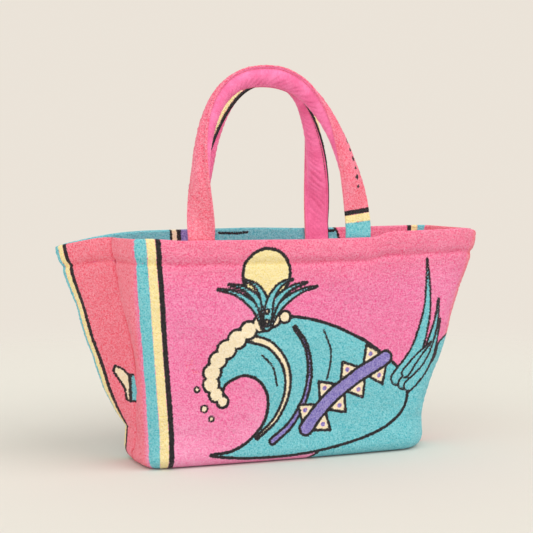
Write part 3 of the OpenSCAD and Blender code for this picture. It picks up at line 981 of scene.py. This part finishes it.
def hold_strap(side):
    """A strap's middle line, its directions and its stuffing, from tail to tail inside the hem."""
    label = "front" if side == FRONT else "back"
    handles, cloth = bag("handles"), bag("cloth")
    middle_x, fold_y, fold_z = joint_place(label + "_handle_fold")
    low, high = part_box(label + "_handle_ends")
    half_span = (high.x - low.x - handles.strap_w) / 2
    near_y, far_y = sorted((abs(low.y), abs(high.y)))
    slope = (far_y - cloth.strap_terry_t - cloth.lining_t - near_y) / (bag("body").rim_z - low.z)
    a = np.linspace(0, math.pi, ARCH_POINTS)
    power = 2 / np.where(a < math.pi / 2, *ARCH_POWER[side])
    cos_a, sin_a = np.cos(a), np.clip(np.sin(a), 0, 1)
    x = middle_x - half_span * np.sign(cos_a) * np.abs(cos_a) ** power + SWAY[side] * sin_a
    arch = np.column_stack([x, fold_y - side * handles.lean * sin_a ** 2,
                            fold_z + handles.rise * sin_a ** power])
    drop = np.linspace(fold_z - low.z - 0.002, 0.0, TAIL_POINTS + 1)[:-1]
    tail = np.column_stack([drop * 0, -side * drop * slope, -drop])
    rough = np.vstack([arch[0] + tail, arch, arch[-1] + tail[::-1]])
    turn = np.concatenate([tail[:, 0], a, tail[:, 0] + math.pi])
    run = run_along(rough)
    even = np.linspace(0, run[-1], int(run[-1] / STRAP_STEP))
    line = np.column_stack([np.interp(even, run, rough[:, k]) for k in range(3)])
    kernel = np.hanning(9) / np.hanning(9).sum()
    for k in range(3):
        line[4:-4, k] = np.convolve(np.pad(line[:, k], 4, "edge"), kernel, "valid")[4:-4]
    along = unit(np.gradient(line, axis=0))
    radial = unit(np.cross(along, [0, 1, 0]))
    out = -side * np.cross(along, radial)
    a = np.interp(even, run, turn)
    share = np.clip(np.sin(a), 0, 1) ** np.where(a < math.pi / 2, *ROLL_POWER[side])
    roll = np.radians(90 - (90 - TOP_ROLL[side]) * share)[:, None]
    face = radial * np.cos(roll) + out * np.sin(roll)
    from_left = even - run[TAIL_POINTS]
    to_right = run[TAIL_POINTS + ARCH_POINTS - 1] - even
    near_foot = np.minimum(from_left, to_right)
    return SimpleNamespace(
        side=side, half=handles.strap_w / 2, line=line, along=along, across=np.cross(face, along), face=face,
        from_left=from_left, to_right=to_right, near_foot=near_foot,
        swell=handles.stuffing_r * smooth((near_foot - 0.012) / 0.075) ** 0.9)


def on_strap(held, j, u, v):
    """The place at ring j of a strap, u half widths across and v off its middle."""
    return held.line[j] + held.across[j] * (u * held.half) + held.face[j] * v


def hollow(height, u):
    """Half height of the stuffing across the strap."""
    return height * np.clip(1 - np.abs(u / STUFFED_SHARE) ** 2.4, 0, 1) ** 0.75


def strap_piece(name, held, us, heights, material, values=None):
    """A strap's piece from the height of each point round every ring."""
    count, ring = heights.shape
    points = [on_strap(held, j, us[k], heights[j, k]) for j in range(count) for k in range(ring)]
    grain = np.column_stack([np.tile(us, count) * held.half, np.repeat(held.from_left, ring)])
    return add_piece(name, points, tube_faces(count, ring), material, values, grain)


def build_strap(name, held, seed):
    """The terry of a handle over its stuffing, with its edges rolled under."""
    cloth, dyes = bag("cloth"), bag("colours")
    draw = np.random.RandomState(seed)
    edge = EDGE_SHARE * (1 - np.cos(np.linspace(0, math.pi / 2, 4)))[:-1]
    top_u = np.concatenate([edge - 1, np.linspace(EDGE_SHARE - 1, 1 - EDGE_SHARE, 25), (1 - edge)[::-1]])
    low_u = np.concatenate([[0.985, 0.95], np.linspace(0.90, -0.90, 11), [-0.95, -0.985]])
    past_edge = np.clip(np.abs(top_u) - (1 - EDGE_SHARE), 0, 1) / EDGE_SHARE
    nose = cloth.strap_terry_t * np.sqrt(np.clip(1 - past_edge ** 2, 0, 1))
    groove = -0.0007 * hump(np.abs(top_u) - STITCH_SHARE, 0.035)
    rolled = 0.0011 * np.clip((np.abs(low_u) - 0.90) / 0.05, 0, 1) * np.clip((1 - np.abs(low_u)) / 0.02, 0, 1)
    heights = []
    for swell in held.swell:
        pile = cloth.pile_rough * draw.normal(0, 1, len(top_u))
        heights.append(np.concatenate([hollow(swell, top_u) + nose + groove + pile,
                                       -hollow(swell, low_u) - rolled]))
    us = np.concatenate([top_u, low_u])
    material = terry_material(name + "_terry", tuple(dyes.salmon), tuple(dyes.hot_pink))
    return strap_piece(name, held, us, np.array(heights), material, strap_print(held, us))


def strap_print(held, us):
    """The strip of print on a strap: bands at the foot of the front one, long stripes on the back one."""
    u = np.tile(us, len(held.line))
    from_left, to_right, near_foot = (np.repeat(v, len(us))
                                      for v in (held.from_left, held.to_right, held.near_foot))
    ink = Print(u * held.half, to_right)
    if held.side == FRONT:
        ink.bands(to_right, STRAP_FOOT_STRIPES)
        for k in range(8):
            ink.discs([(3.0, 60 + 12 * k, 3.1 if k % 2 else 2.3)], "black", 0)
    else:
        ink.bands((u + 1) * held.half, STRAP_LONG_STRIPES)
    values = {"print_" + dye: ink.dyes[dye] for dye in DYES}
    values["warmth"] = np.clip(0.15 + 0.7 * smooth((near_foot - 0.05) / 0.16), 0, 1)
    values["paleness"] = np.clip(0.2 + 0.2 * soft_wave(u * 0.3, from_left / 0.1, 17), 0, 1)
    return values


STRAP_STITCH_SUNK = 0.0017
TACK_SHARE = 0.72
PUCKER_PITCH = 0.0085
CUSHION = 0.0011
TUCK = 0.0010
FACING_GAP = 0.0006


def facing_height(held, j, u):
    """How far the smooth backing stands off the strap's middle, puckered between its stitches."""
    along = held.from_left[j]
    puff = np.clip(1 - (np.abs(u) / STITCH_SHARE) ** 2, 0, 1)
    slant = (along + u * held.half * 0.9) / PUCKER_PITCH + 0.30 * soft_wave(along / 0.03, u * 0.4, 51)
    fold = 1 - 2 * np.abs(np.sin(math.pi * slant)) ** 0.8
    loose = 0.35 + 0.65 * smooth((held.near_foot[j] - 0.01) / 0.05)
    flat_side = 0.75 + 0.25 * soft_wave(along / 0.05, u * 0.2, 53)
    pucker = bag("handles").pucker * loose * flat_side * fold * puff ** 0.6
    tuck = TUCK * hump(np.abs(u) - STITCH_SHARE, 0.045)
    return hollow(held.swell[j], u) + bag("cloth").lining_t + CUSHION * puff - pucker - tuck + FACING_GAP


def build_facing(name, held):
    """The smooth backing of a handle."""
    us = np.linspace(-FACING_SHARE, FACING_SHARE, 33)
    heights = []
    for j, swell in enumerate(held.swell):
        inner = -hollow(swell, us) - 0.0001
        outer = -facing_height(held, j, us)
        outer[[0, -1]] = inner[[0, -1]] - FACING_GAP
        heights.append(np.concatenate([inner, outer[::-1]]))
    return strap_piece(name, held, np.concatenate([us, us[::-1]]), np.array(heights),
                       smooth_cloth_material(name + "_cotton"))


def build_strap_stitching(name, held):
    """Two rows of stitches through a handle, seen on both of its faces."""
    cloth = bag("cloth")
    run = run_along(held.line)
    places, alongs = [], []
    for u in (-STITCH_SHARE, STITCH_SHARE):
        for s in np.arange(cloth.stitch_len, run[-1] - cloth.stitch_len, cloth.stitch_len):
            j = int(round(np.interp(s, run, np.arange(len(run)))))
            top = hollow(held.swell[j], u) + cloth.strap_terry_t - STRAP_STITCH_SUNK
            for v in (-facing_height(held, j, np.array([u]))[0], top):
                places.append(on_strap(held, j, u, v))
                alongs.append(held.along[j])
    return stitches(name, np.array(places), np.array(alongs), cloth.stitch_len * 0.74)


def build_tacks(name, held):
    """A box of stitches with a cross on each strap end, inside the hem."""
    stitch_len, middle = bag("cloth").stitch_len, len(held.line) // 2
    below = [j for j in range(len(held.line)) if held.line[j][2] < bag("body").rim_z - 0.004]
    places, alongs = [], []
    for rings in ([j for j in below if j < middle], [j for j in below if j >= middle]):

        def spot(share, u):
            j = int(round(mix(rings[1], rings[-2], share)))
            v = -facing_height(held, j, np.array([u]))[0] - 0.0002
            return on_strap(held, j, u * TACK_SHARE, v)

        for a, b in (((0, -1), (1, -1)), ((1, -1), (1, 1)), ((1, 1), (0, 1)), ((0, 1), (0, -1)),
                     ((0, -1), (1, 1)), ((0, 1), (1, -1))):
            start, end = spot(*a), spot(*b)
            length = np.linalg.norm(end - start)
            steps = max(2, int(length / stitch_len))
            for share in (np.arange(steps) + 0.5) / steps:
                places.append(spot(mix(a[0], b[0], share), mix(a[1], b[1], share)))
                alongs.append((end - start) / length)
    return stitches(name, np.array(places), np.array(alongs), stitch_len * 0.72)


def bend_at_fold(piece):
    """Bakes a handle's piece's placement into its mesh."""
    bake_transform(piece)


# ---------------------------------------------------------------- operators


class BEACHTOTE_OT_panels(bpy.types.Operator):
    """Make the front and back terry panels."""

    bl_idname = "beach_tote.panels"
    bl_label = "Terry panels"

    def execute(self, context):
        for label, side in SIDES.items():
            piece = build_panel(label + "_panel_cloth", side, 3 + side)
            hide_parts(label + "_panel")
            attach(piece, "bag")
        return {"FINISHED"}


class BEACHTOTE_OT_lining(bpy.types.Operator):
    """Make both halves of the smooth lining."""

    bl_idname = "beach_tote.lining"
    bl_label = "Lining"

    def execute(self, context):
        for label, side in SIDES.items():
            piece = build_lining(label + "_lining_cloth", side)
            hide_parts(label + "_lining")
            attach(piece, "bag")
        return {"FINISHED"}


class BEACHTOTE_OT_hem_stitching(bpy.types.Operator):
    """Make the stitches of the hem."""

    bl_idname = "beach_tote.hem_stitching"
    bl_label = "Hem stitching"

    def execute(self, context):
        piece = build_hem_stitching("hem_stitching")
        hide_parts("hem_thread")
        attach(piece, "bag")
        return {"FINISHED"}


class BEACHTOTE_OT_handles(bpy.types.Operator):
    """Make both padded handles with their backing."""

    bl_idname = "beach_tote.handles"
    bl_label = "Handles"

    def execute(self, context):
        for label, side in SIDES.items():
            held = hold_strap(side)
            strap = build_strap(label + "_handle_strap", held, 31 + side)
            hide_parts(label + "_handle_terry", label + "_handle_core", label + "_handle_ends")
            bend_at_fold(strap)
            facing = build_facing(label + "_handle_facing", held)
            width, length = 2 * FACING_SHARE * held.half, float(run_along(held.line)[-1])
            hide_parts(label + "_handle_backing")
            bend_at_fold(facing)
        return {"FINISHED"}


class BEACHTOTE_OT_handle_stitching(bpy.types.Operator):
    """Make the stitches along the handles and on their sewn ends."""

    bl_idname = "beach_tote.handle_stitching"
    bl_label = "Handle stitching"

    def execute(self, context):
        for label, side in SIDES.items():
            held = hold_strap(side)
            rows = build_strap_stitching(label + "_handle_stitching", held)
            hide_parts(label + "_handle_thread")
            bend_at_fold(rows)
            tacks = build_tacks(label + "_tack_stitching", held)
            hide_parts(label + "_handle_tacks")
            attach(tacks, "bag")
        return {"FINISHED"}


LAMP_COLOUR = (1.0, 0.98, 0.95)
# Where the camera stands: turned from the front, tilted down, how far out and how high
CAMERA_TURN, CAMERA_TILT = math.radians(20), math.radians(5.95)
CAMERA_AWAY, CAMERA_HEIGHT = 2.2, 0.487
CAMERA_LENS, CAMERA_SHIFT = 109.2, -0.026266
FLOOR_R, FLOOR_CORNERS = 1.6, 64
FLOOR_FADE = (0.55, 1.5)


def add_soft_light(name, place, power, width):
    """A broad distant light that shines from a place towards the bag, width degrees across."""
    lamp = bpy.data.lights.new(name, "SUN")
    lamp.angle = math.radians(width)
    lamp.energy = power
    lamp.color = LAMP_COLOUR
    light = bpy.data.objects.new(name, lamp)
    light.location = place
    light.rotation_mode = "QUATERNION"
    light.rotation_quaternion = (-Vector(place)).to_track_quat("-Z", "Y")
    bpy.context.scene.collection.objects.link(light)


def floor_material():
    """Pale matt floor that fades into the backdrop far from the bag."""
    material, tree, shader = new_material("stage_floor", Base_Color=(*bag("colours").floor, 1.0),
                                          Roughness=0.95, Specular_IOR_Level=0.1)
    place = put(tree, "ShaderNodeTexCoord").outputs["Object"]
    far = put(tree, "ShaderNodeVectorMath", {0: place}, operation="LENGTH").outputs["Value"]
    clear = put(tree, "ShaderNodeBsdfTransparent").outputs[0]
    both = put(tree, "ShaderNodeMixShader",
               {0: spread(tree, far, *FLOOR_FADE), 1: shader.outputs[0], 2: clear})
    end = next(n for n in tree.nodes if n.type == "OUTPUT_MATERIAL")
    tree.links.new(both.outputs[0], end.inputs["Surface"])
    return material


class BEACHTOTE_OT_stage(bpy.types.Operator):
    """Make the floor, the light and the camera."""

    bl_idname = "beach_tote.stage"
    bl_label = "Stage"

    def execute(self, context):
        scene = context.scene
        turns = np.linspace(0, math.tau, FLOOR_CORNERS, endpoint=False)
        rim = [(FLOOR_R * math.cos(t), FLOOR_R * math.sin(t), -0.0004) for t in turns]
        add_piece("stage_floor", rim, [tuple(range(FLOOR_CORNERS))], floor_material())
        world = bpy.data.worlds.new("backdrop")
        world.use_nodes = True
        shade = next(n for n in world.node_tree.nodes if n.type == "BACKGROUND")
        shade.inputs["Color"].default_value = (*bag("colours").backdrop, 1.0)
        shade.inputs["Strength"].default_value = 1.0
        scene.world = world
        scene.view_settings.view_transform = "Standard"
        add_soft_light("key", (1.2, -1.4, 1.9), 1.35, 50)
        add_soft_light("fill", (-1.5, -1.2, 0.8), 1.2, 90)
        lens = bpy.data.cameras.new("camera")
        lens.sensor_width = 36
        lens.lens = CAMERA_LENS
        lens.shift_x = CAMERA_SHIFT
        camera = bpy.data.objects.new("camera", lens)
        camera.location = (-math.sin(CAMERA_TURN) * CAMERA_AWAY, -math.cos(CAMERA_TURN) * CAMERA_AWAY,
                           CAMERA_HEIGHT)
        camera.rotation_euler = (math.pi / 2 - CAMERA_TILT, 0, -CAMERA_TURN)
        scene.collection.objects.link(camera)
        scene.camera = camera
        return {"FINISHED"}


STEPS = (BEACHTOTE_OT_panels, BEACHTOTE_OT_lining, BEACHTOTE_OT_hem_stitching, BEACHTOTE_OT_handles,
         BEACHTOTE_OT_handle_stitching, BEACHTOTE_OT_stage)
GROUPS = {"body": BodySettings, "cloth": ClothSettings, "handles": HandleSettings, "colours": ColourSettings}


class BEACHTOTE_PT_panel(bpy.types.Panel):
    """Lists the tote's sizes and its steps."""

    bl_idname = "BEACHTOTE_PT_panel"
    bl_label = "Beach Tote"
    bl_space_type = "VIEW_3D"
    bl_region_type = "UI"
    bl_category = "Beach Tote"

    def draw(self, context):
        for label, kind in GROUPS.items():
            group = bag(label)
            box = self.layout.box()
            box.label(text=label.capitalize())
            for name in kind.__annotations__:
                box.prop(group, name)
        for step in STEPS:
            self.layout.operator(step.bl_idname)


def register():
    for kind in (*GROUPS.values(), *STEPS, BEACHTOTE_PT_panel):
        bpy.utils.register_class(kind)
    for label, kind in GROUPS.items():
        setattr(bpy.types.Scene, "beach_tote_" + label, bpy.props.PointerProperty(type=kind))


def unregister():
    for label in GROUPS:
        delattr(bpy.types.Scene, "beach_tote_" + label)
    for kind in reversed((*GROUPS.values(), *STEPS, BEACHTOTE_PT_panel)):
        bpy.utils.unregister_class(kind)


def main():
    register()
    bpy.ops.beach_tote.panels()
    bpy.ops.beach_tote.lining()
    bpy.ops.beach_tote.hem_stitching()
    bpy.ops.beach_tote.handles()
    bpy.ops.beach_tote.handle_stitching()
    bpy.ops.beach_tote.stage()


if __name__ == "__main__":
    main()
